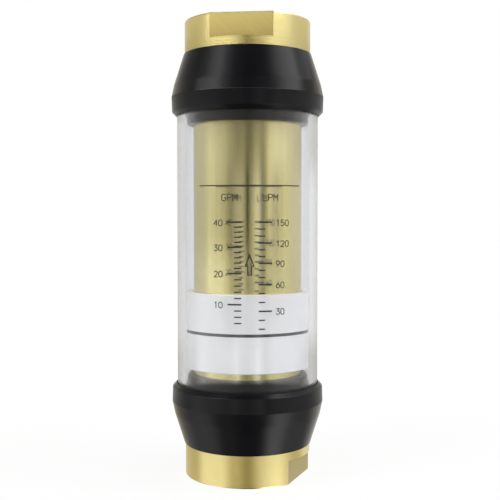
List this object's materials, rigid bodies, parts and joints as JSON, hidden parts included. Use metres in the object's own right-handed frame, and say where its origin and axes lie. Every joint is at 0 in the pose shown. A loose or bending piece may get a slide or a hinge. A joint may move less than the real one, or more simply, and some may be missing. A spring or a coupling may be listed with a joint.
{
  "type": "in-line flow monitor",
  "caption": "In-line variable area flow monitor: brass body with threaded ports, black rubber guard seals, clear scale window and a white magnetic indicator ring.",
  "frame": {"origin": "middle of the inlet port's end face, which the part stands on", "axes": "+Z along the flow towards the outlet, the scale faces -Y, +X to the right of the scale"},
  "size_m": [0.0616, 0.0616, 0.183],
  "materials": {
    "casing_brass": "drawn and polished",
    "port_brass": "fine turned",
    "piston_brass": "turned",
    "seal_rubber": "moulded satin",
    "o_ring_rubber": "moulded",
    "stainless": "turned",
    "spring_steel": "drawn wire",
    "ptfe": "turned",
    "magnet": "coated",
    "indicator_white": "moulded satin",
    "clear_polycarbonate": "clear"
  },
  "bodies": {
    "meter_body": {"casing": "casing_brass", "inlet_port": "port_brass", "outlet_port": "port_brass", "lower_guard_seal": "seal_rubber", "upper_guard_seal": "seal_rubber", "inlet_spider": "stainless", "outlet_spider": "stainless", "inlet_retaining_ring": "spring_steel", "outlet_retaining_ring": "spring_steel", "metering_cone": "stainless", "inlet_cone_nut": "stainless", "outlet_cone_nut": "stainless", "inlet_lock_washer": "spring_steel", "outlet_lock_washer": "spring_steel", "inlet_o_ring": "o_ring_rubber", "outlet_o_ring": "o_ring_rubber", "inlet_backup_ring": "ptfe", "outlet_backup_ring": "ptfe", "return_spring": "spring_steel"},
    "piston": {"piston_body": "piston_brass", "orifice_disk": "stainless", "orifice_retaining_ring": "spring_steel", "transfer_magnet": "magnet", "lower_guide_ring": "ptfe", "upper_guide_ring": "ptfe", "piston_nut": "piston_brass"},
    "indicator": {"indicator_shell": "indicator_white", "indicator_magnet": "magnet", "indicator_cap": "indicator_white"},
    "window": {"window_tube": "clear_polycarbonate"}
  },
  "joints": [
    {"name": "piston_slide", "type": "slide", "parent": "meter_body", "child": "piston", "axis": [0, 0, 1], "range_m": [0, 0.048], "stiffness_N_per_m": 430, "springref_m": -0.008, "deforming": ["return_spring"]},
    {"name": "indicator_slide", "type": "slide", "parent": "meter_body", "child": "indicator", "axis": [0, 0, 1], "range_m": [0, 0.048]},
    {"name": "window_turn", "type": "hinge", "parent": "meter_body", "child": "window", "pos_m": [0, 0, 0.0915], "axis": [0, 0, 1], "continuous": true}
  ],
  "couplings": [
    {"joint": "indicator_slide", "follows": "piston_slide", "ratio": 1}
  ]
}
